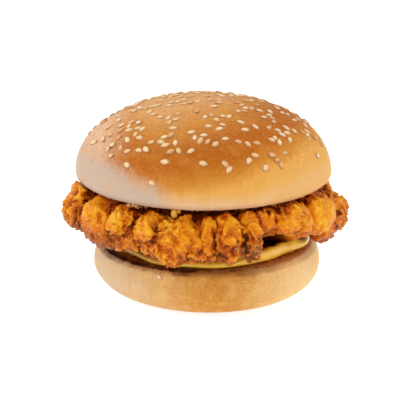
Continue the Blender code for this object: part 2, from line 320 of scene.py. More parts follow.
def crownProfile():
    points = []
    for i in range(crown["domeRings"]):
        turn = pi / 2 * (1 - i / crown["domeRings"])
        out = crown["radius"] * cos(turn) ** (2 / crown["power"]) if i else 0.0
        points.append((out, crown["widestZ"] + crown["domeHeight"] * sin(turn) ** (2 / crown["power"])))
    for i in range(crown["lipRings"] + 1):
        turn = pi / 2 * i / crown["lipRings"]
        out = crown["radius"] - crown["lipDepth"] * (1 - cos(turn))
        points.append((out, crown["widestZ"] - crown["lipHeight"] * sin(turn)))
    for i in range(1, crown["cutRings"] + 1):
        points.append((crown["cutRadius"] * (1 - i / crown["cutRings"]), crown["cutZ"]))
    return points


def crownRelief(point):
    # how far the crust stands out at a point, in metres
    up = (point.z - crown["cutZ"]) / crown["height"]
    dent = noise(point / crown["dentSize"] + crown["dentShift"])
    wrinkle = noise(drawnOut(point, crown["wrinkleDrawn"]) / crown["wrinkleSize"])
    onTop = eased(up, *crown["lipTop"])
    calm = 1 - crown["calmShare"] * eased(up, *crown["calmTop"])
    relief = crown["dentDepth"] * dent * onTop * calm
    relief += crown["wrinkleDepth"] * wrinkle * (0.4 + 0.6 * (1 - onTop))
    # the skin puckers where the dough sank as it cooled
    sunk = near(turnOf(point), crown["puckerSpots"]) * eased(up, *crown["puckerFrom"])
    sunk *= 1 - eased(up, *crown["puckerTo"])
    if sunk:
        slanted = drawnOut(point, crown["puckerDrawn"])
        slanted.x += crown["puckerSlant"] * point.z
        fold = 1 - crown["puckerSharpness"] * abs(noise(slanted / crown["puckerSize"]))
        relief -= crown["puckerDepth"] * sunk * fold
    return relief


def shapeCrown():
    shape = turnProfile(crownProfile(), crown["steps"])
    swell(shape, crown["middleX"], crown["phase"])
    moves = []
    for vertex in shape.verts:
        co = vertex.co
        onCut = eased(crown["cutZ"] + crown["cutEdge"] - co.z, 0.0, crown["cutBlend"])
        move = vertex.normal * crownRelief(co) * (1 - onCut)
        if onCut:
            crumb = noise(co / crown["crumbSize"])
            out = hypot(co.x - crown["middleX"], co.y)
            move.z += onCut * crown["crumbDepth"] * (0.5 + 0.5 * crumb)
            ragged = noise(co / crown["tornSize"])
            ragged *= eased(out, crown["cutRadius"] - crown["tornWidth"], crown["cutRadius"])
            move += drawnOut(co, 0).normalized() * ragged * crown["tornDepth"] * onCut
        moves.append(move)
    movePoints(shape, moves)
    return shape


def crustFinish():
    look = Finish("baked_crust")
    x, _, z = look.axes
    up = (z - crown["cutZ"]) / crown["height"]
    # the two sides differ: browned low down at the left, and paler further up at the right
    left = look.eased(x / -crown["radius"], 0.10, 0.88)
    right = look.eased(x / crown["radius"], 0.02, 0.80)
    drift = look.noise(34.0, 2.0) - 0.5
    streaks = look.streaks(620, 70, 4.0) - 0.5
    leftHalf = look.eased(x / -crown["radius"], -0.10, 0.35)
    baked = up - right * 0.25 + leftHalf * 0.10 + drift * 0.16 + streaks * 0.10
    # the lighter top end of this ramp is partly a painted sheen from the light above
    browningAndSheen = look.ramp(baked, [
        (0.02, 228, 178, 110),
        (0.09, 230, 174, 96),
        (0.17, 230, 170, 84),
        (0.26, 230, 168, 80),
        (0.38, 206, 134, 44),
        (0.52, 186, 102, 14),
        (0.70, 180, 98, 14),
        (0.88, 202, 134, 54),
        (1.00, 216, 160, 100),
    ])
    # paler at the far left: partly paler crust, partly a painted sheen from the left light
    farLeftPaleAndSheen = look.eased(left + drift * 0.2, 0.80, 1.0)
    paleLip = (1.0 - look.eased(up + streaks * 0.10, 0.03, 0.26)) * (1.0 - right)
    # a pale belt above the lip at the left: less browned crust, with a painted cool light from the left
    # on it
    beltTop = left * 0.25 + leftHalf * 0.11
    paleBeltAndLight = 1.0 - look.eased(up - beltTop + drift * 0.10 + streaks * 0.24, -0.02, 0.22)
    # a painted sheen where the left light falls on the upper left
    leftSheen = look.eased(up + drift * 0.15, 0.34, 0.66) * look.eased(left, 0.55, 1.0)
    mottle = look.noise(800.0, 4.0, 0.7)
    freckle = look.eased(mottle, 0.44, 0.68) * (0.04 + look.eased(up, 0.25, 0.60) * 0.34)
    pale = (1.0 - look.eased(mottle, 0.28, 0.48)) * 0.20
    cloud = look.eased(look.noise(150.0, 4.0, 0.6), 0.42, 0.74) * 0.26
    browningAndSheen = look.layers(browningAndSheen, [
        (farLeftPaleAndSheen * 0.60, 226, 186, 146),
        (paleLip * 0.85, 222, 192, 160),
        (paleBeltAndLight * look.eased(left, -0.05, 0.35) * 0.95, 196, 174, 156),
        (leftSheen * 0.66, 228, 192, 160),
        (freckle, 160, 84, 26),
        (pale, 240, 188, 116),
        (cloud, 226, 156, 74),
    ])
    # the cut face underneath is griddled crumb
    toasted = look.ramp(look.cells(620.0) * 0.9 + look.noise(210.0) * 0.5, [
        (0.10, 96, 50, 22),
        (0.55, 170, 108, 54),
        (0.95, 222, 176, 112),
    ])
    under = 1.0 - look.eased(z, crown["cutZ"] + 0.15 * mm, crown["cutZ"] + 0.55 * mm)
    skin = look.mix(under, browningAndSheen, toasted)
    skinBump = look.bump(mottle, 0.42, 0.24 * mm)
    skinBump = look.bump(look.streaks(420, 110), 0.40, 0.5 * mm, skinBump)
    # fine upright wrinkles at the left and along the lip
    wrinkled = look.eased(x / -crown["radius"], -0.15, 0.45) * (1.0 - look.eased(up, 0.30, 0.62))
    wrinkled = wrinkled + (1.0 - look.eased(up, 0.03, 0.16)) * 0.6
    pleats = look.streaks(1100, 150, 3.0, 0.65) * wrinkled
    skinBump = look.bump(pleats, 0.55, 0.45 * mm, skinBump)
    return look.dress(
        baseColor=skin,
        roughness=0.58 - look.eased(up, 0.15, 0.5) * 0.12 + mottle * 0.08,
        normal=skinBump,
        **breadLooks,
    )


# Sesame seeds

sesame = dict(
    placeDraw=5,  # the draw of the solid's seeds
    looksDraw=9,
    count=256,
    evenCount=132,
    denseShare=0.80,
    # more on the front: how many, from and to which turn, and from and to which share of the radius
    patches=((17, -80, -26, 0.74, 0.965), (11, -158, -112, 0.70, 0.90), (5, -108, -72, 0.72, 0.94)),
    length=3.6 * mm,
    width=2.35 * mm,
    thickness=1.35 * mm,
    sizes=(0.88, 1.12),
    tips=(-7, 7),
    taper=(0.62, 0.35),  # how much the pointed half narrows, evenly and towards its tip
    thinning=0.3,
    tipTone=0.25,
    # the height in each seed over which the painted shade at its base fades out
    edge=(0.02, 0.50),
    toneSkew=2.2,  # above 1 few seeds are dark
    sunk=0.05 * mm,
    spacing=2.2 * mm,
    sideShare=0.88,  # outside this share of the crown's radius fewer seeds have stuck
    lastShare=0.975,
    rimChance=0.5,
    strayTurn=radians(-113.5), strayZ=17.5 * mm, straySpin=-0.5, straySize=0.85,
    strayTone=0.1,
    segments=8,
    rings=6,
)


def seedPlaces(tree):
    # the same draws as the solid's seeds, and then more of them nearer the top
    draw = random.Random(sesame["placeDraw"])
    places = []

    def tryPlace(turn, share):
        above = Vector((
            crown["middleX"] + crown["radius"] * share * cos(turn),
            crown["radius"] * share * sin(turn),
            crown["cutZ"] + 2 * crown["domeHeight"],
        ))
        point, normal, _, _ = tree.ray_cast(above, Vector((0, 0, -1)))
        if point and all((point - other).length > sesame["spacing"] for other, _ in places):
            places.append((point, normal))

    while len(places) < sesame["count"]:
        reach = sesame["lastShare"] if len(places) < sesame["evenCount"] else sesame["denseShare"]
        turn = draw.uniform(0, 2 * pi)
        share = sqrt(draw.random()) * reach
        chance = sesame["rimChance"] if share > sesame["sideShare"] else 1.0
        if draw.random() > chance:
            continue
        tryPlace(turn, share)
    for count, lowTurn, highTurn, lowShare, highShare in sesame["patches"]:
        for i in range(count):
            tryPlace(radians(draw.uniform(lowTurn, highTurn)), draw.uniform(lowShare, highShare))
    return places


def addSeed(shape, tone, place, size):
    # the sphere's x, y and z become the seed's width, thickness and length
    seed = bmesh.new()
    toneLayer = seed.verts.layers.float.new("seedTone")
    baseShadeLayer = seed.verts.layers.float.new("seedEdge")
    bmesh.ops.create_uvsphere(seed, u_segments=sesame["segments"], v_segments=sesame["rings"], radius=0.5)
    for vertex in seed.verts:
        co = vertex.co
        along = max(0.0, co.z)
        taper = 1.0 - sesame["taper"][0] * along - sesame["taper"][1] * along ** 2
        flat = Vector((
            co.z * sesame["length"] * size,
            co.x * sesame["width"] * size * taper,
            co.y * sesame["thickness"] * size * (1 - sesame["thinning"] * along),
        ))
        vertex[toneLayer] = tone + sesame["tipTone"] * along
        # painted shade, darkest at each seed's base where it meets the crust
        vertex[baseShadeLayer] = 1 - eased(co.y, *sesame["edge"])
        vertex.co = place @ flat
    bmesh.ops.recalc_face_normals(seed, faces=seed.faces)
    gather(shape, seed)


def seedPlace(point, normal, turn, tip):
    upright = normal.to_track_quat("Z", "Y").to_matrix().to_4x4()
    spin = Matrix.Rotation(turn, 4, "Z") @ Matrix.Rotation(tip, 4, "Y")
    return Matrix.Translation(point - normal * sesame["sunk"]) @ upright @ spin


def shapeSeeds(crustPiece, heelPiece):
    shape = bmesh.new()
    draw = random.Random(sesame["looksDraw"])
    for point, normal in seedPlaces(treeOf(crustPiece)):
        size = draw.uniform(*sesame["sizes"])
        turn = draw.uniform(0, 2 * pi)
        tip = radians(draw.uniform(*sesame["tips"]))
        tone = draw.random() ** sesame["toneSkew"]
        addSeed(shape, tone, seedPlace(point, normal, turn, tip), size)
    # one seed has strayed onto the side of the heel
    outward = Vector((cos(sesame["strayTurn"]), sin(sesame["strayTurn"]), 0))
    outside = Vector((heelMiddle.x, 0, sesame["strayZ"])) + outward * 2 * heel["bellyRadius"]
    point, normal, _, _ = treeOf(heelPiece).ray_cast(outside, -outward)
    strayPlace = seedPlace(point, normal, sesame["straySpin"], 0.0)
    addSeed(shape, sesame["strayTone"], strayPlace, sesame["straySize"])
    return shape


def seedFinish():
    look = Finish("sesame")
    shade = look.ramp(look.attribute("seedTone") * 0.8 + (look.noise(700.0) - 0.5) * 0.6, [
        (0.0, 246, 216, 168),
        (0.35, 238, 198, 140),
        (0.75, 222, 168, 102),
        (1.0, 204, 140, 72),
    ])
    # painted shade round the base of each seed
    shade = look.mix(look.attribute("seedEdge") * 0.90, shade, colour(148, 78, 28))
    grain = look.bump(look.noise(2600.0, 2.0), 0.25, 0.08 * mm)
    return look.dress(
        baseColor=shade,
        roughness=0.42,
        normal=grain,
        subsurfaceWeight=0.15,
        subsurfaceRadius=(1.0, 0.7, 0.4),
        subsurfaceScale=0.8 * mm,
    )


# Heel of the bun

heel = dict(
    middleX=0.6 * mm,
    height=heelHigh.z,
    bellyZ=12.4 * mm, bellyRadius=47.1 * mm,
    footRadius=31.0 * mm,
    cutRadius=45.0 * mm,
    edge=1.6 * mm,
    phase=2.1,
    steps=220, sideRings=22, footRings=34, cutRings=34,
    dentSize=22.0 * mm, dentDepth=0.45 * mm, dentShift=Vector((0.2, 5.3, 2.9)),
    creaseSize=3.6 * mm, creaseDepth=0.10 * mm, creaseDrawn=0.25,
    sideFrom=(0.6 * mm, 5 * mm),
    cutFrom=(0.7 * mm, 0.1 * mm),  # below the top, where the side passes into the cut face
    crumbSize=1.3 * mm, crumbDepth=0.30 * mm,
)


def heelProfile():
    top = heel["height"]
    points = [
        ((heel["cutRadius"] - heel["edge"]) * i / heel["cutRings"], top)
        for i in range(heel["cutRings"] + 1)
    ]
    below = top - 0.7 * heel["edge"]
    for i in range(1, heel["sideRings"] + 1):
        share = i / heel["sideRings"]
        out = heel["bellyRadius"] - (heel["bellyRadius"] - heel["cutRadius"]) * (1 - share) ** 2
        corner = heel["edge"] * (1 - eased(share, 0.0, 0.16)) * 0.5
        points.append((out - corner, below - (below - heel["bellyZ"]) * share))
    for i in range(1, heel["footRings"] + 1):
        turn = pi / 2 * i / heel["footRings"]
        out = heel["footRadius"] + (heel["bellyRadius"] - heel["footRadius"]) * cos(turn)
        points.append((out, heel["bellyZ"] * (1 - sin(turn))))
    points.append((0.0, 0.0))
    return points


def shapeHeel():
    shape = turnProfile(heelProfile(), heel["steps"])
    swell(shape, heel["middleX"], heel["phase"])
    moves = []
    for vertex in shape.verts:
        co = vertex.co
        onSide = eased(co.z, *heel["sideFrom"])
        dent = noise(co / heel["dentSize"] + heel["dentShift"]) * heel["dentDepth"]
        crease = noise(drawnOut(co, heel["creaseDrawn"]) / heel["creaseSize"]) * heel["creaseDepth"]
        onCut = eased(co.z, *[heel["height"] - depth for depth in heel["cutFrom"]])
        move = vertex.normal * (dent + crease) * onSide * (1 - onCut)
        crumb = noise(co / heel["crumbSize"])
        move.z += onCut * heel["crumbDepth"] * (crumb * 0.5 - 0.5)
        moves.append(move)
    movePoints(shape, moves)
    return shape


def heelFinish():
    look = Finish("heel_crust")
    x, y, z = look.axes
    left = look.eased((x * -0.95 + y * -0.15) / heel["bellyRadius"], 0.10, 0.95)
    right = look.eased((x * 0.95 + y * -0.10) / heel["bellyRadius"], 0.20, 0.90)
    streaks = look.streaks(520, 60, 4.0) - 0.5
    drift = look.noise(55.0, 2.0) - 0.5
    baked = 0.78 - left * 0.55 - right * 0.42 + drift * 0.34 + streaks * 0.50
    skin = look.ramp(baked, [
        (0.00, 216, 196, 172),
        (0.22, 230, 194, 146),
        (0.45, 228, 174, 98),
        (0.72, 212, 146, 58),
        (1.00, 196, 122, 38),
    ])
    grain = look.noise(1300.0, 4.0, 0.75)
    toRight = look.eased(x / heel["bellyRadius"], -0.35, 0.25)
    grainy = 0.18 + toRight * 0.42 - right * 0.40
    blotch = look.eased(look.noise(170.0, 3.0, 0.6), 0.45, 0.70) * 0.35
    # a painted contact shadow along the bottom edge
    base = 1.0 - look.eased(z, 0.2 * mm, 1.3 * mm)
    # brown that ran down from the griddled edge
    ragged = (look.streaks(430, 120) - 0.5) * 4.0 * mm
    bleed = look.eased(z + ragged * 0.6, heel["height"] - 2.1 * mm, heel["height"] - 0.9 * mm)
    skin = look.layers(skin, [
        (left * 0.55, 196, 172, 148),
        (right * 0.45, 248, 220, 168),
        (look.eased(grain, 0.48, 0.66) * grainy, 186, 112, 36),
        ((1.0 - look.eased(grain, 0.34, 0.50)) * 0.30, 246, 206, 142),
        (blotch, 238, 190, 118),
        (base * 0.80, 134, 62, 34),
        (bleed * (0.62 - right * 0.30 - toRight * 0.28), 158, 86, 40),
    ])
    edge = z + ragged * 0.25 - toRight * 0.4 * mm
    scorch = look.eased(edge, heel["height"] - 1.05 * mm, heel["height"] - 0.65 * mm)
    out = ((x - heel["middleX"]) ** 2.0 + y ** 2.0) ** 0.5
    rim = look.eased(out + ragged * 0.8, 40.5 * mm, 43.0 * mm)
    face = look.ramp(look.cells(560.0) * 0.7 + look.noise(160.0) * 0.6, [
        (0.15, 120, 58, 18),
        (0.55, 176, 100, 36),
        (0.95, 212, 150, 76),
    ])
    char = look.noise(330.0, 3.0, 0.6)
    burnt = look.ramp(char + toRight * 0.20 + right * 0.14 - left * 0.10, [
        (0.36, 46, 20, 12),
        (0.54, 104, 52, 24),
        (0.72, 206, 140, 82),
    ])
    face = look.mix(rim, face, burnt)
    skin = look.mix(scorch, skin, face)
    fine = look.bump(grain, 0.60, 0.26 * mm)
    pits = look.bump(look.eased(look.cells(900.0), 0.1, 0.5), 0.30, 0.14 * mm, fine)
    return look.dress(
        baseColor=skin,
        roughness=0.66 - scorch * 0.14,
        normal=pits,
        **breadLooks,
    )


# Melted cheese

cheese = dict(
    middleX=0.6 * mm,
    low=heelHigh.z + 0.05 * mm,
    thickness=2.8 * mm,
    radius=41.6 * mm,
    waves=((4, 0.9 * mm, 0.5), (7, 0.5 * mm, 2.1), (11, 0.35 * mm, 4.0)),
    steps=300, faceRings=26, edgeRings=14,
    swellSize=7 * mm, swellShare=0.10,
    swellFrom=(0.7, 1.0),  # from and to which share of the radius, as in the other pairs
    ripple=0.35 * mm, rippleSize=11 * mm, rippleFrom=(0.5, 0.9),
    beadTurn=-42.0, beadSpread=34.0, beadWhole=0.3, beadRise=1.9 * mm,
    ridgeFrom=(0.86, 0.94), ridgeEnd=(0.965, 1.0), ridgeFall=0.4,
    lumpSize=4.5 * mm, lumpShare=0.6,
)


def cheeseProfile():
    half = cheese["thickness"] / 2
    flat = cheese["radius"] - half
    rings = cheese["faceRings"]
    points = [(flat * i / rings, 2 * half) for i in range(rings)]
    for i in range(cheese["edgeRings"] + 1):
        turn = pi / 2 - pi * i / cheese["edgeRings"]
        points.append((flat + half * cos(turn), half + half * sin(turn)))
    points += [(flat * (1 - i / rings), 0.0) for i in range(1, rings + 1)]
    return points


def shapeCheese():
    shape = turnProfile(cheeseProfile(), cheese["steps"])
    for vertex in shape.verts:
        co = vertex.co
        turn = atan2(co.y, co.x)
        out = hypot(co.x, co.y) / cheese["radius"]
        wave = sum(depth * cos(count * turn + phase) for count, depth, phase in cheese["waves"])
        co.x *= 1 + out * wave / cheese["radius"]
        co.y *= 1 + out * wave / cheese["radius"]
        swelling = cheese["swellShare"] * noise(co / cheese["swellSize"])
        co.z *= 1 + swelling * eased(out, *cheese["swellFrom"])
        ripple = noise(drawnOut(co, 0) / cheese["rippleSize"])
        co.z += max(0.0, cheese["ripple"] * (0.5 + ripple)) * eased(out, *cheese["rippleFrom"])
        aside = abs(degrees(turn) - cheese["beadTurn"]) / cheese["beadSpread"]
        ridge = eased(out, *cheese["ridgeFrom"])
        ridge *= 1 - cheese["ridgeFall"] * eased(out, *cheese["ridgeEnd"])
        lump = noise(Vector((co.x, co.y, 5)) / cheese["lumpSize"])
        rise = cheese["beadRise"] * (1 - eased(aside, cheese["beadWhole"], 1.0)) * ridge
        rise *= 1 + cheese["lumpShare"] * lump
        co.z += rise * co.z / cheese["thickness"]
        co.x += cheese["middleX"]
        co.z += cheese["low"]
    return shape


def cheeseFinish():
    look = Finish("melted_cheese")
    x, y, z = look.axes
    cloud = look.noise(170.0, 3.0) * 0.6 + look.noise(640.0, 2.0) * 0.4
    shade = look.ramp(cloud, [
        (0.30, 250, 180, 40),
        (0.52, 255, 200, 62),
        (0.72, 255, 222, 106),
    ])
    # painted shade on the underside of the cheese
    low = 1.0 - look.eased(z, cheese["low"] + 0.1 * mm, cheese["low"] + 1.0 * mm)
    # painted shade where the fillet lies on the cheese, all but the rim
    out = ((x - cheese["middleX"]) ** 2.0 + y ** 2.0) ** 0.5
    underFilletShade = 1.0 - look.eased(out + (look.noise(220.0) - 0.5) * 3.0 * mm, 35.6 * mm, 37.8 * mm)
    # darker and browner at the left: partly browned cheese, partly painted shade
    leftSide = look.eased(x / -cheese["radius"], 0.05, 0.55)
    shade = look.layers(shade, [
        (low * 0.40, 206, 128, 36),
        (underFilletShade * 0.95, 118, 48, 10),
        (leftSide * 0.60, 186, 112, 40),
    ])
    soft = look.bump(look.noise(330.0, 2.0), 0.35, 0.8 * mm)
    return look.dress(
        baseColor=shade,
        roughness=0.18 + look.noise(420.0) * 0.10,
        normal=soft,
        subsurfaceWeight=0.20,
        subsurfaceRadius=(1.0, 0.7, 0.2),
        subsurfaceScale=1.4 * mm,
        coatWeight=0.20,
        coatRoughness=0.07,
        specularIorLevel=0.80,
        specularTint=(1.0, 0.88, 0.55, 1.0),
    )


# Cheese that ran out under the crown, and crumbs torn from its lip

drip = dict(
    x=-11.9 * mm,
    y=-45.5 * mm,
    hung=0.7,  # how far below the lip a drop's middle is, as a share of its half height
    drops=((0.0, 1.25, 2.0), (1.7, 0.7, 0.8)),  # aside, half width and half height in mm
    roundness=4,
    thick=0.9,  # depth of a drop as a share of its width
    sag=0.5 * mm,
    narrowing=0.25,
    ripple=0.1, rippleScale=1.3,
)
crumbs = dict(
    count=70,
    draw=23,
    size=(0.35 * mm, 0.85 * mm),
    turns=(-165.0, -18.0),
    lip=(38.0, 82.0),  # degrees round the lip's roll, 0 at its widest ring and 90 on the cut face
    tuftCount=18, tuftTurn=-122.5, tuftSpread=1.7, tuftSize=(1.3 * mm, 2.4 * mm),
    tuftLip=(50.0, 88.0),
    roundness=2,
    ragged=0.7, raggedScale=2.6,
    shift=(0, 99),
    spin=(0, 6.28),
    width=(0.6, 0.9),  # a share of the size, as the next two are
    thickness=(0.5, 0.8),
    standOut=0.22,
)


def shapeDrip(crustPiece):
    shape = bmesh.new()
    under = treeOf(crustPiece)
    for aside, halfWide, halfHigh in drip["drops"]:
        x = drip["x"] + aside * mm
        point, _, _, _ = under.ray_cast(Vector((x, drip["y"], heel["height"])), Vector((0, 0, 1)))
        z = point.z - drip["hung"] * halfHigh * mm
        drop = ball(drip["roundness"])
        for vertex in drop.verts:
            co = vertex.co
            narrow = 1 - drip["narrowing"] * co.z
            ripple = 1 + drip["ripple"] * noise(co * drip["rippleScale"] + Vector((aside, 0, 0)))
            co.x *= halfWide * mm * narrow * ripple
            co.y *= halfWide * mm * drip["thick"] * ripple
            co.z *= halfHigh * mm
            co.y -= drip["sag"] * max(0.0, -co.z) / (halfHigh * mm)
        bmesh.ops.translate(drop, verts=drop.verts, vec=(x, drip["y"], z))
        gather(shape, drop)
    return shape


def addCrumb(shape, draw, turn, roll, size):
    outward = Vector((cos(turn), sin(turn), 0))
    out = crown["radius"] - crown["lipDepth"] * (1 - cos(roll))
    high = crown["cutZ"] + crown["lipHeight"] * (1 - sin(roll))
    normal = (outward * cos(roll) - Vector((0, 0, sin(roll)))).normalized()
    crumb = ball(crumbs["roundness"], 0.5)
    shift = Vector((draw.uniform(*crumbs["shift"]), 0, 0))
    for vertex in crumb.verts:
        vertex.co *= 1 + crumbs["ragged"] * noise(vertex.co * crumbs["raggedScale"] + shift)
    spin = Matrix.Rotation(draw.uniform(*crumbs["spin"]), 4, "X")
    spin = spin @ Matrix.Rotation(draw.uniform(*crumbs["spin"]), 4, "Z")
    wide, thick = [size * draw.uniform(*crumbs[side]) for side in ("width", "thickness")]
    centre = outward * out + Vector((crown["middleX"], 0, high)) + normal * size * crumbs["standOut"]
    place = Matrix.Translation(centre) @ spin @ Matrix.Diagonal((size, wide, thick, 1))
    bmesh.ops.transform(crumb, matrix=place, verts=crumb.verts)
    gather(shape, crumb)


def shapeCrumbs():
    shape = bmesh.new()
    draw = random.Random(crumbs["draw"])
    for i in range(crumbs["count"]):
        turn = radians(draw.uniform(*crumbs["turns"]))
        roll = radians(draw.uniform(*crumbs["lip"]))
        addCrumb(shape, draw, turn, roll, draw.uniform(*crumbs["size"]))
    for i in range(crumbs["tuftCount"]):
        turn = radians(draw.gauss(crumbs["tuftTurn"], crumbs["tuftSpread"]))
        roll = radians(draw.uniform(*crumbs["tuftLip"]))
        addCrumb(shape, draw, turn, roll, draw.uniform(*crumbs["tuftSize"]))
    return shape


def crumbFinish():
    look = Finish("torn_crumb")
    shade = look.ramp(look.noise(500.0, 3.0, 0.6), [
        (0.32, 150, 84, 34),
        (0.52, 214, 158, 96),
        (0.70, 236, 200, 150),
    ])
    rough = look.bump(look.noise(2200.0, 2.0), 0.5, 0.12 * mm)
    return look.dress(baseColor=shade, roughness=0.7, normal=rough, specularIorLevel=0.1)


# Fried fillet

fillet = dict(
    coreX=48.0 * mm, coreY=45.0 * mm, coreHalf=10.6 * mm, coreZ=34.0 * mm,
    coreFlatness=5, coreMost=2.5, coreRoundness=6, lumpRoundness=4,
    voxel=0.50 * mm, mostFaces=184000,
    hiddenOut=35.0 * mm,  # nearer the axis than this the buns hide it, and it stays plain
    shownOut=40.0 * mm,
    inset=0.5 * mm,  # the lobes are this much smaller, because their skins stand proud
    skinSize=5.2 * mm, skinLift=0.9 * mm, skinThickness=0.95 * mm, skinShare=0.04,
    skinRoundness=5, skinDrawn=0.7, skinSwirl=0.8, skinEdge=0.22, skinClear=0.15 * mm,
    skinShift=3.7,  # each lobe's skin is torn otherwise
    cragSize=6.5 * mm, cragDepth=0.8 * mm, cragSlope=2.4, cragSwirl=0.9,
    cragSwirlSize=2.2,  # as a multiple of the crags' size, and so for the crests
    roughSize=13 * mm, roughShift=Vector((1.5, 8.2, 0.6)),
    crestSize=3.7 * mm, crestDrawn=0.62, crestSwirl=1.1, crestSwirlSize=1.8,
    crestShift=Vector((7.7, 1.1, 3.9)), crestHeight=0.95 * mm, crestWidth=0.26,
    crestLean=0.45 * mm, bowlDepth=0.75 * mm,
    fineSize=1.5 * mm, fineSwirl=1.3, fineHeight=0.50 * mm, fineWidth=0.30,
    budSize=2.5 * mm, budHeight=0.9 * mm, budEverywhere=0.45,
    grainSize=0.9 * mm, grainDepth=0.10 * mm,
    shelterReach=5.0 * mm, shelterRays=14, shelterClear=0.15 * mm,
    # between these heights a shaded spot passes from painted shade to painted light
    litAboveFrom=(31 * mm, 40 * mm),  # a dull spot is golden above these heights
    archTurn=-50.0, archSpread=17.0, archWhole=0.45, archLift=7.5 * mm, archFrom=26.0 * mm,
    archFull=42.0 * mm, archTop=38.0 * mm,
    spare=0.25 * mm,
    crownSwell=1.014,  # a little more than the crown's widest swelling
    ceilingSlope=8,  # how steeply the room for the fillet opens beside the crown
    floorMargin=2.4 * mm,
    floorSlope=1.6,  # and beside the cheese
)

# turn round the axis in degrees, distance out, height, and half sizes out, across and up in mm
frontLobes = dict(
    leftEar=(-163, 53.0, 42.5, 3.0, 6.5, 7.0),
    leftEnd=(-166, 50.5, 36.0, 8.5, 11.0, 8.0),
    leftUpper=(-148, 46.5, 38.0, 9.5, 8.0, 7.0),
    leftBelly=(-144, 47.0, 33.5, 9.5, 12.0, 8.0),
    leftFold=(-131, 46.0, 37.5, 8.5, 6.5, 7.0),
    leftFloor=(-131, 44.5, 32.0, 8.5, 9.0, 5.0),
    knob=(-115, 47.0, 37.0, 7.5, 5.5, 5.5),
    knobFloor=(-113, 45.5, 32.4, 7.5, 6.0, 5.2),
    bright=(-102, 47.0, 34.5, 7.8, 8.5, 8.0),
    brightFloor=(-104, 46.5, 29.6, 6.5, 7.0, 4.9),
    brightSide=(-94, 46.5, 32.6, 7.0, 5.0, 6.2),
    ridge=(-88, 46.5, 34.5, 6.8, 3.4, 8.4),
    middle=(-79.5, 47.0, 37.0, 7.4, 5.6, 6.5),
    middleFloor=(-78, 46.5, 31.5, 7.4, 6.0, 6.4),
    flake=(-69, 46.5, 36.5, 7.0, 4.5, 7.5),
    flakeFloor=(-67.5, 46.0, 30.5, 5.8, 3.6, 6.0),
    rightFold=(-60, 44.5, 38.5, 7.0, 5.0, 5.5),
    rightBelly=(-47, 47.0, 37.5, 9.6, 11.0, 7.6),
    rightFloor=(-43, 46.5, 33.0, 8.0, 9.0, 5.5),
    rightEnd=(-27, 49.0, 37.0, 9.0, 10.5, 8.0),
    rightFlange=(-9, 53.0, 33.5, 6.4, 9.0, 7.5),
    rightUnder=(-18, 50.5, 29.5, 6.0, 7.5, 5.5),
)
backLobes = dict(
    count=17, first=6.0, last=184.0, draw=11, shift=(0.2, 0.8), out=(45.5, 49.0),
    lowZ=(29.0, 32.0), highZ=(35.0, 38.5),
    halfOut=(7.0, 9.5), halfAcross=(6.5, 11.0), halfUp=(5.5, 8.0),
)
# where the crust is smooth and where it is knobbly: turn and half width in degrees
smoothSpots = ((-143, 13), (-33, 14), (60, 16), (140, 14))
budSpots = ((-118, 9), (-76, 6), (20, 12), (100, 10), (172, 9))
# where the crust is lighter, and where it is painted shaded low down and lit higher up
goldenSpots = ((-101, 12), (-38, 20), (30, 16), (95, 16), (150, 14))
shadeAndLightSpots = ((-146, 26), (-70, 9), (62, 14), (122, 12))


def allLobes():
    rows = list(frontLobes.values())
    draw = random.Random(backLobes["draw"])
    reach = backLobes["last"] - backLobes["first"]
    for i in range(backLobes["count"]):
        turn = backLobes["first"] + reach * (i + draw.uniform(*backLobes["shift"])) / backLobes["count"]
        drawn = ("out", "lowZ" if i % 2 else "highZ", "halfOut", "halfAcross", "halfUp")
        rows.append((turn, *[draw.uniform(*backLobes[name]) for name in drawn]))
    return rows


def bend(spot):
    # a smooth random vector, the same in every run
    return Vector([noise(spot + Vector(offset)) for offset in ((0, 0, 0), (31.4, 0, 0), (0, 47.2, 0))])


def addLobe(shape, lobe, number):
    # a lump of batter, and a torn skin over it whose edges curl away
    turn, out, z, *halves = lobe
    place = Matrix.Rotation(radians(turn), 4, "Z") @ Matrix.Translation((out * mm, 0, z * mm))
    place = place @ Matrix.Diagonal((*[half * mm - fillet["inset"] for half in halves], 1))
    gather(shape, ball(fillet["lumpRoundness"], place=place))
    skin = ball(fillet["skinRoundness"], place=place)
    skin.normal_update()
    shift = Vector((0.0, 0.0, fillet["skinShift"] * number))
    swirl = fillet["skinSwirl"]
    cover = {}
    for vertex in skin.verts:
        spot = drawnOut(vertex.co, fillet["skinDrawn"]) / fillet["skinSize"] + shift
        cover[vertex] = noise(spot + swirl * bend(swirl * spot)) - fillet["skinShare"]
    torn = [face for face in skin.faces if min(cover[vertex] for vertex in face.verts) < 0]
    for vertex in skin.verts:
        edge = 1 - eased(cover[vertex], 0.0, fillet["skinEdge"])
        vertex.co += vertex.normal * (fillet["skinClear"] + fillet["skinLift"] * edge)
    bmesh.ops.delete(skin, geom=torn, context="FACES")
    if skin.faces:
        bmesh.ops.solidify(skin, geom=list(skin.faces), thickness=fillet["skinThickness"])
        bmesh.ops.recalc_face_normals(skin, faces=skin.faces)
    gather(shape, skin)


def lumpFillet():
    # a flat core, its lobes and their flaky skins, still separate shells
    halves = Matrix.Diagonal((fillet["coreX"], fillet["coreY"], fillet["coreHalf"], 1))
    shape = ball(fillet["coreRoundness"], place=Matrix.Translation((0, 0, fillet["coreZ"])) @ halves)
    power = fillet["coreFlatness"]
    rim = 0.999
    for vertex in shape.verts:
        co = vertex.co
        share = hypot(co.x / fillet["coreX"], co.y / fillet["coreY"])
        if share < rim:
            flat = (1 - share ** power) ** (2 / power) / sqrt(1 - share * share)
            co.z = fillet["coreZ"] + (co.z - fillet["coreZ"]) * min(flat, fillet["coreMost"])
    for number, lobe in enumerate(allLobes()):
        addLobe(shape, lobe, number)
    return shape


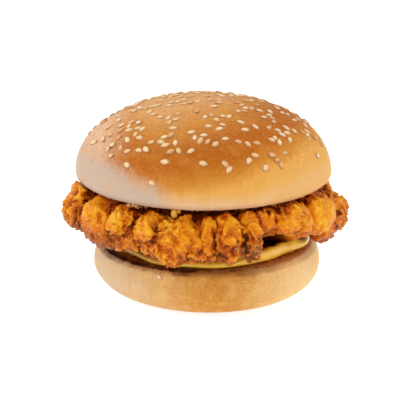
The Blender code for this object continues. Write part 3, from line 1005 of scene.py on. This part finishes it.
def crustAt(point):
    # how high the crust stands at a point, how sharp its crest is there, and which way that leans
    out = hypot(point.x, point.y)
    shown = eased(out, fillet["hiddenOut"], fillet["shownOut"])
    if shown == 0:
        return 0.0, 0.0, Vector((0, 0, 0))
    turn = turnOf(point)
    swirl = fillet["cragSwirl"] * bend(point / (fillet["cragSwirlSize"] * fillet["cragSize"]))
    crag = 1 - fillet["cragSlope"] * abs(noise(point / fillet["cragSize"] + swirl))
    height = fillet["cragDepth"] * crag
    rough = eased(noise(point / fillet["roughSize"] + fillet["roughShift"]), -0.35, 0.10)
    rough *= 1 - 0.8 * near(turn, smoothSpots)
    hanging = drawnOut(point, fillet["crestDrawn"])
    swing = bend(hanging / (fillet["crestSwirlSize"] * fillet["crestSize"]) + fillet["crestShift"])
    sheet = abs(noise(hanging / fillet["crestSize"] + fillet["crestSwirl"] * swing))
    crest = max(0.0, 1 - sheet / fillet["crestWidth"]) * (0.25 + 0.75 * rough)
    height += fillet["crestHeight"] * crest ** 1.2
    height -= fillet["bowlDepth"] * min(1.0, sheet / 0.5) * (0.2 + 0.8 * rough)
    fineSheet = abs(noise(point / fillet["fineSize"] + fillet["fineSwirl"] * swing))
    fine = max(0.0, 1 - fineSheet / fillet["fineWidth"]) * (0.35 + 0.65 * rough)
    height += fillet["fineHeight"] * fine
    budded = max(near(turn, budSpots), fillet["budEverywhere"] * rough)
    if budded:
        gap = voronoi(point / fillet["budSize"])[0][0]
        height += fillet["budHeight"] * budded * (0.7 - gap)
    height += fillet["grainDepth"] * noise(point / fillet["grainSize"])
    lean = (swing + Vector((0, 0, -0.25))) * fillet["crestLean"] * crest * shown
    return height * shown, max(crest, 0.6 * fine) * shown, lean


def archFillet(mesh):
    # the underside lifts off the cheese at the front right
    bottom = fillet["archTop"] - fillet["coreZ"] + fillet["coreHalf"]
    for vertex in mesh.vertices:
        co = vertex.co
        aside = abs(turnOf(co) - fillet["archTurn"])
        sector = 1 - eased(aside, fillet["archWhole"] * fillet["archSpread"], fillet["archSpread"])
        out = eased(hypot(co.x, co.y), fillet["archFrom"], fillet["archFull"])
        depth = max(0.0, min(1.0, (fillet["archTop"] - co.z) / bottom))
        co.z += fillet["archLift"] * sector * out * depth


def ceiling(out):
    # the crown's underside over a ring of the fillet
    if out <= crown["cutRadius"]:
        return crown["cutZ"]
    if out >= crown["radius"]:
        return crown["widestZ"] + fillet["ceilingSlope"] * (out - crown["radius"])
    roll = (out - crown["cutRadius"]) / crown["lipDepth"]
    return crown["cutZ"] + crown["lipHeight"] * (1 - sqrt(1 - roll * roll))


def floorUnder(out):
    edge = cheese["radius"] + fillet["floorMargin"]
    if out <= edge:
        return cheeseHigh.z
    return max(cheeseHigh.z - fillet["floorSlope"] * (out - edge), heel["bellyZ"])


def squeezeFillet(mesh):
    # keeps the fillet out of the crown and the cheese
    for vertex in mesh.vertices:
        co = vertex.co
        top = ceiling(hypot(co.x - crown["middleX"], co.y) / fillet["crownSwell"]) - fillet["spare"]
        low = floorUnder(hypot(co.x - heel["middleX"], co.y)) + fillet["spare"]
        co.z = max(min(co.z, top), low)


def fitBox(mesh, low, high):
    # keeps the fillet's outline inside the solid's
    for axis in (0, 1):
        spots = [vertex.co[axis] for vertex in mesh.vertices]
        least, most = min(spots), max(spots)
        for vertex in mesh.vertices:
            share = (vertex.co[axis] - least) / (most - least)
            vertex.co[axis] = low[axis] + (high[axis] - low[axis]) * share


def keepValues(mesh, name, values):
    stored = mesh.attributes.new(name, "FLOAT", "POINT")
    stored.data.foreach_set("value", values)


def raysAround(count):
    # directions spread over the half sphere round +Z
    goldenAngle = 2.39996
    lowest, spread = 0.15, 0.8
    rays = []
    for i in range(count):
        high = lowest + spread * (i + 0.5) / count
        wide = sqrt(1 - high * high)
        turn = i * goldenAngle
        rays.append(Vector((wide * cos(turn), wide * sin(turn), high)))
    return rays


def shelterOf(mesh):
    # the share of each point's outlook that nearby crust closes off, which the finish paints as shade in
    # the recesses
    tree = BVHTree.FromPolygons(
        [vertex.co for vertex in mesh.vertices], [face.vertices for face in mesh.polygons]
    )
    rays = raysAround(fillet["shelterRays"])
    occlusionShade = []
    for vertex in mesh.vertices:
        if hypot(vertex.co.x, vertex.co.y) < fillet["hiddenOut"]:
            occlusionShade.append(1.0)
            continue
        swing = vertex.normal.to_track_quat("Z", "Y")
        start = vertex.co + vertex.normal * fillet["shelterClear"]
        closed = sum(
            1 for ray in rays if tree.ray_cast(start, swing @ ray, fillet["shelterReach"])[0]
        )
        occlusionShade.append(closed / len(rays))
    return occlusionShade


def crustMesh(mesh):
    # pushes the crust of a fused mesh out into crests, bowls and buds
    shape = bmesh.new()
    points = [shape.verts.new(vertex.co) for vertex in mesh.vertices]
    for face in mesh.polygons:
        shape.faces.new([points[i] for i in face.vertices])
    bmesh.ops.smooth_vert(
        shape, verts=shape.verts, factor=0.5, use_axis_x=True, use_axis_y=True, use_axis_z=True
    )
    shape.normal_update()
    crusts = [crustAt(vertex.co) for vertex in shape.verts]
    turns = [turnOf(vertex.co) for vertex in shape.verts]
    moves = [vertex.normal * crust[0] + crust[2] for vertex, crust in zip(shape.verts, crusts)]
    movePoints(shape, moves)
    shape.to_mesh(mesh)
    shape.free()
    keepValues(mesh, "crustHeight", [crust[0] / mm for crust in crusts])
    keepValues(mesh, "crustCrest", [crust[1] for crust in crusts])
    # on the shaded spots, painted shade below these heights and painted light above them
    highs = [2 * eased(vertex.co.z, *fillet["litAboveFrom"]) - 1 for vertex in mesh.vertices]
    goldsAndLight = [near(turn, goldenSpots) + near(turn, shadeAndLightSpots) * high for turn, high in zip(turns, highs)]
    keepValues(mesh, "crustGold", goldsAndLight)


def makeFillet(finish):
    piece = makePiece("fried_fillet", lumpFillet(), finish)
    fuse = piece.modifiers.new("fuse", "REMESH")
    fuse.mode = "VOXEL"
    fuse.voxel_size = fillet["voxel"]
    bakeModifiers(piece)
    print("fillet fused,", len(piece.data.vertices), "points")
    crustMesh(piece.data)
    archFillet(piece.data)
    fitBox(piece.data, filletLow, filletHigh)
    squeezeFillet(piece.data)
    thin = piece.modifiers.new("thin", "DECIMATE")
    thin.ratio = min(1.0, fillet["mostFaces"] / (2 * len(piece.data.polygons)))
    bakeModifiers(piece)
    mesh = piece.data
    print("fillet crusted,", len(mesh.vertices), "points")
    keepValues(mesh, "crustShelter", shelterOf(mesh))
    # how far each point faces down, which the finish paints as shade on the undersides
    keepValues(mesh, "crustUnder", [max(0.0, -vertex.normal.z) for vertex in mesh.vertices])
    mesh.materials.clear()
    mesh.materials.append(finish)
    mesh.shade_smooth()
    return piece


def filletFinish():
    look = Finish("fried_crust")
    height = look.attribute("crustHeight")
    occlusionShade = look.attribute("crustShelter")
    crest = look.attribute("crustCrest")
    goldAndLight = look.attribute("crustGold")
    x, y, z = look.axes
    patch = look.noise(75.0, 3.0, 0.55, 0.4)
    speck = look.noise(620.0, 4.0, 0.65)
    # painted light: the crust is lighter higher up
    upperLight = look.eased(z, 29.0 * mm, 43.0 * mm)
    # painted shade in the recesses darkens the tone
    tone = height * 0.20 + 0.50 + upperLight * 0.09 - occlusionShade * 0.72 + goldAndLight * 0.17
    # painted shade where the crown's lip overhangs it and on its undersides; darker where it touches the
    # cheese, which is partly greasier batter and partly painted shade
    out = (x ** 2.0 + y ** 2.0) ** 0.5
    lipShade = look.eased(z, 37.5 * mm, 43.5 * mm) * (1.0 - look.eased(out, 47.0 * mm, 51.5 * mm))
    foot = 1.0 - look.eased(z, 25.0 * mm, 31.0 * mm)
    tone = tone - lipShade * 0.42 - foot * 0.16 - look.attribute("crustUnder") * 0.34
    tone = tone + (patch - 0.5) * 0.62 + (speck - 0.5) * 0.50
    crust = look.ramp(tone, [
        (0.00, 112, 32, 0),
        (0.20, 168, 62, 0),
        (0.42, 212, 102, 0),
        (0.64, 235, 134, 0),
        (0.85, 243, 157, 6),
        (1.00, 248, 182, 38),
    ])
    crisp = look.eased(look.noise(240.0, 3.0, 0.6), 0.58, 0.74)
    recessShade = look.eased(occlusionShade, 0.50, 0.88)
    # painted glints: small pale specks stand for light caught by the oily batter, fewer in the recesses
    crumb = 1.0 - look.eased(look.cells(520.0), 0.12, 0.24)
    # painted shade where the fillet lies deep under the buns
    underBunShade = 1.0 - look.eased(out, 39.0 * mm, 43.0 * mm)
    crust = look.layers(crust, [
        # painted shade, browner, low down on the shaded spots
        (goldAndLight * -0.36, 164, 90, 34),
        (crisp * 0.30, 156, 62, 4),
        # lighter gold on the crests: golden crust, partly a painted highlight
        (look.eased(crest, 0.35, 0.95) * 0.30, 244, 156, 26),
        # painted shade deep in the recesses
        (recessShade * 0.70, 110, 36, 4),
        (crumb * (0.54 - occlusionShade * 0.5), 255, 220, 132),
        (underBunShade * 0.85, 104, 42, 10),
    ])
    grain = look.bump(look.noise(1500.0, 4.0, 0.7), 0.95, 0.44 * mm)
    blister = look.bump(look.cells(760.0, "SMOOTH_F1", 0.4), 0.45, -0.40 * mm, grain)
    return look.dress(
        baseColor=crust,
        roughness=0.15 + look.eased(speck, 0.35, 0.7) * 0.20,
        normal=blister,
        subsurfaceWeight=0.08,
        subsurfaceRadius=(1.0, 0.35, 0.05),
        subsurfaceScale=1.0 * mm,
        specularIorLevel=0.60,
        specularTint=(1.0, 0.76, 0.26, 1.0),
    )


# Studio

studio = dict(
    distance=450 * mm,
    rise=radians(16.0),
    aim=Vector((-2.3 * mm, 0, 36 * mm)),
    lens=97.8,
    sensor=36.0,
    clipStart=0.01,
    floorSize=4.0, floorGlow=0.84,
    walls=0.58,
    darkness=0.46,
    darkFrom=(0.2, 0.85),
)
# where each light stands, its size, its power and its tint
lights = dict(
    softbox_left=((-0.55, 0.10, 0.32), 0.50, 1.00, (0.97, 0.98, 1.0)),
    softbox_right=((0.55, -0.02, 0.26), 0.50, 0.95, (1.0, 0.97, 0.93)),
    softbox_top=((-0.05, 0.15, 0.70), 0.45, 1.15, (1.0, 1.0, 1.0)),
    key=((-0.26, -0.48, 0.46), 0.07, 1.5, (1.0, 0.98, 0.95)),
    fill=((0.40, -0.48, 0.14), 0.16, 0.32, (1.0, 0.97, 0.92)),
)


def placeCamera():
    data = bpy.data.cameras.new("camera")
    data.lens = studio["lens"]
    data.sensor_width = studio["sensor"]
    data.clip_start = studio["clipStart"]
    camera = addObject("camera", data)
    back = Vector((0, -cos(studio["rise"]), sin(studio["rise"])))
    camera.location = studio["aim"] + back * studio["distance"]
    camera.rotation_euler = (-back).to_track_quat("-Z", "Y").to_euler()
    bpy.context.scene.camera = camera


def addLight(name, place, size, power, tint):
    data = bpy.data.lights.new(name, "AREA")
    data.shape = "DISK"
    data.size = size
    data.energy = power
    data.color = tint
    light = addObject(name, data)
    light.location = place
    light.rotation_euler = (studio["aim"] - Vector(place)).to_track_quat("-Z", "Y").to_euler()


def lightStudio():
    for name, settings in lights.items():
        addLight(name, *settings)
    world = bpy.data.worlds.new("studio")
    bpy.context.scene.world = world
    world.use_nodes = True
    # white walls all round, and a dark room behind the camera
    bench = Bench(world.node_tree, "Generated")
    dark = bench.eased(bench.axes[1] * -1.0, *studio["darkFrom"])
    backdrop = world.node_tree.nodes["Background"]
    bench.feed(backdrop.inputs["Strength"], studio["walls"] - dark * studio["darkness"])
    backdrop.inputs["Color"].default_value = (1.0, 1.0, 1.0, 1.0)
    bpy.context.scene.view_settings.view_transform = "Standard"


def floorFinish():
    # a lit white table: it glows a little, so that only a faint shadow shows
    look = Finish("studio_floor")
    cloud = look.mix(look.noise(3.0) * 0.3, colour(176, 176, 175), colour(170, 170, 168))
    return look.dress(
        baseColor=cloud, roughness=0.9, specularIorLevel=0.0,
        emissionColor=(1.0, 1.0, 1.0, 1.0), emissionStrength=studio["floorGlow"],
    )


def layFloor():
    shape = bmesh.new()
    bmesh.ops.create_grid(shape, x_segments=1, y_segments=1, size=studio["floorSize"])
    floorPiece = makePiece("studio_floor", shape, floorFinish(), False)


placeCamera()
lightStudio()
layFloor()
print("studio set")

crustPiece = makePiece("bun_crust", shapeCrown(), crustFinish())
keepPiece(crustPiece, "bun_crust", "bun_crown")
heelPiece = makePiece("bun_base", shapeHeel(), heelFinish())
keepPiece(heelPiece, "heel_crust", "bun_heel")
print("bun baked")

seedShape = shapeSeeds(crustPiece, heelPiece)
keepPiece(makePiece("sesame_seeds", seedShape, seedFinish()), "bun_crust")
print("seeds strewn")

keepPiece(makePiece("melted_slice", shapeCheese(), cheeseFinish()), "melted_cheese", "cheese_slice")
print("cheese laid")

keepPiece(makeFillet(filletFinish()), "fried_crust", "chicken_fillet")
print("fillet fried")

keepPiece(makePiece("cheese_drip", shapeDrip(crustPiece), cheeseFinish()), "melted_cheese")
keepPiece(makePiece("lip_crumbs", shapeCrumbs(), crumbFinish()), "bun_crust")
print("drip and crumbs added")
